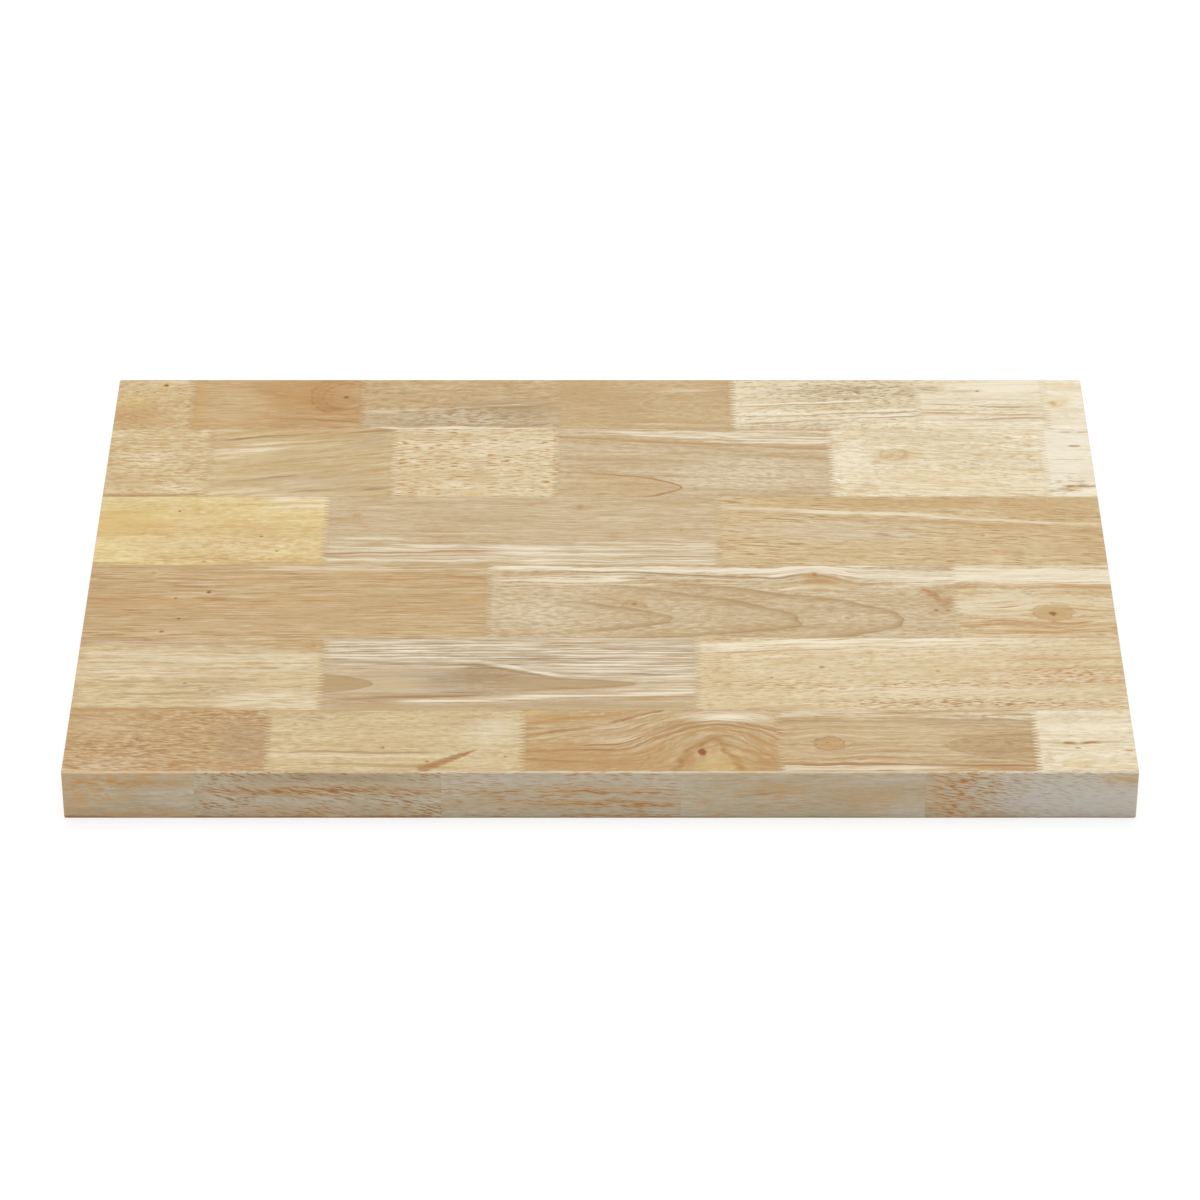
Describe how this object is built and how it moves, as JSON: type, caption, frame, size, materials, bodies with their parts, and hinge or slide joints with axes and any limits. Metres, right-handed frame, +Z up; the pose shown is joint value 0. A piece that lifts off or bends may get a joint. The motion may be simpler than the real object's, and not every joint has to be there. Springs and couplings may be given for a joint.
{
  "type": "butcher block countertop",
  "caption": "Flat rectangular wooden worktop slab, edge-glued from staves of finger-jointed hardwood blocks, with lightly rounded edges.",
  "frame": {"origin": "centre of the underside, on the surface that the slab lies on", "axes": "+X along the length to the right, +Y from the front edge to the back edge, +Z up through the thickness"},
  "size_m": [0.9144, 0.635, 0.0476],
  "materials": {
    "rubberwood_honey": "clear satin oil over sanded honey-brown rubberwood",
    "rubberwood_tan": "clear satin oil over sanded tan rubberwood",
    "rubberwood_beige": "clear satin oil over sanded greyish beige rubberwood",
    "rubberwood_straw": "clear satin oil over sanded straw-coloured rubberwood",
    "rubberwood_yellow": "clear satin oil over sanded yellow rubberwood",
    "rubberwood_cream": "clear satin oil over sanded cream rubberwood",
    "rubberwood_pale": "clear satin oil over sanded pale cream rubberwood",
    "rubberwood_ivory": "clear satin oil over sanded ivory sapwood",
    "rubberwood_sand": "clear satin oil over sanded greyish sand-coloured rubberwood"
  },
  "bodies": {
    "root": {"stave_1_block_1": "rubberwood_straw", "stave_1_block_2": "rubberwood_honey", "stave_1_block_3": "rubberwood_tan", "stave_1_block_4": "rubberwood_tan", "stave_1_block_5": "rubberwood_cream", "stave_1_block_6": "rubberwood_pale", "stave_1_block_7": "rubberwood_ivory", "stave_2_block_1": "rubberwood_straw", "stave_2_block_2": "rubberwood_tan", "stave_2_block_3": "rubberwood_cream", "stave_2_block_4": "rubberwood_beige", "stave_2_block_5": "rubberwood_pale", "stave_2_block_6": "rubberwood_ivory", "stave_3_block_1": "rubberwood_yellow", "stave_3_block_2": "rubberwood_beige", "stave_3_block_3": "rubberwood_straw", "stave_4_block_1": "rubberwood_tan", "stave_4_block_2": "rubberwood_beige", "stave_4_block_3": "rubberwood_cream", "stave_5_block_1": "rubberwood_straw", "stave_5_block_2": "rubberwood_beige", "stave_5_block_3": "rubberwood_cream", "stave_6_block_1": "rubberwood_honey", "stave_6_block_2": "rubberwood_straw", "stave_6_block_3": "rubberwood_honey", "stave_6_block_4": "rubberwood_tan", "stave_6_block_5": "rubberwood_pale", "front_strip_block_1": "rubberwood_sand", "front_strip_block_2": "rubberwood_sand", "front_strip_block_3": "rubberwood_sand", "front_strip_block_4": "rubberwood_sand", "front_strip_block_5": "rubberwood_sand"}
  },
  "joints": []
}
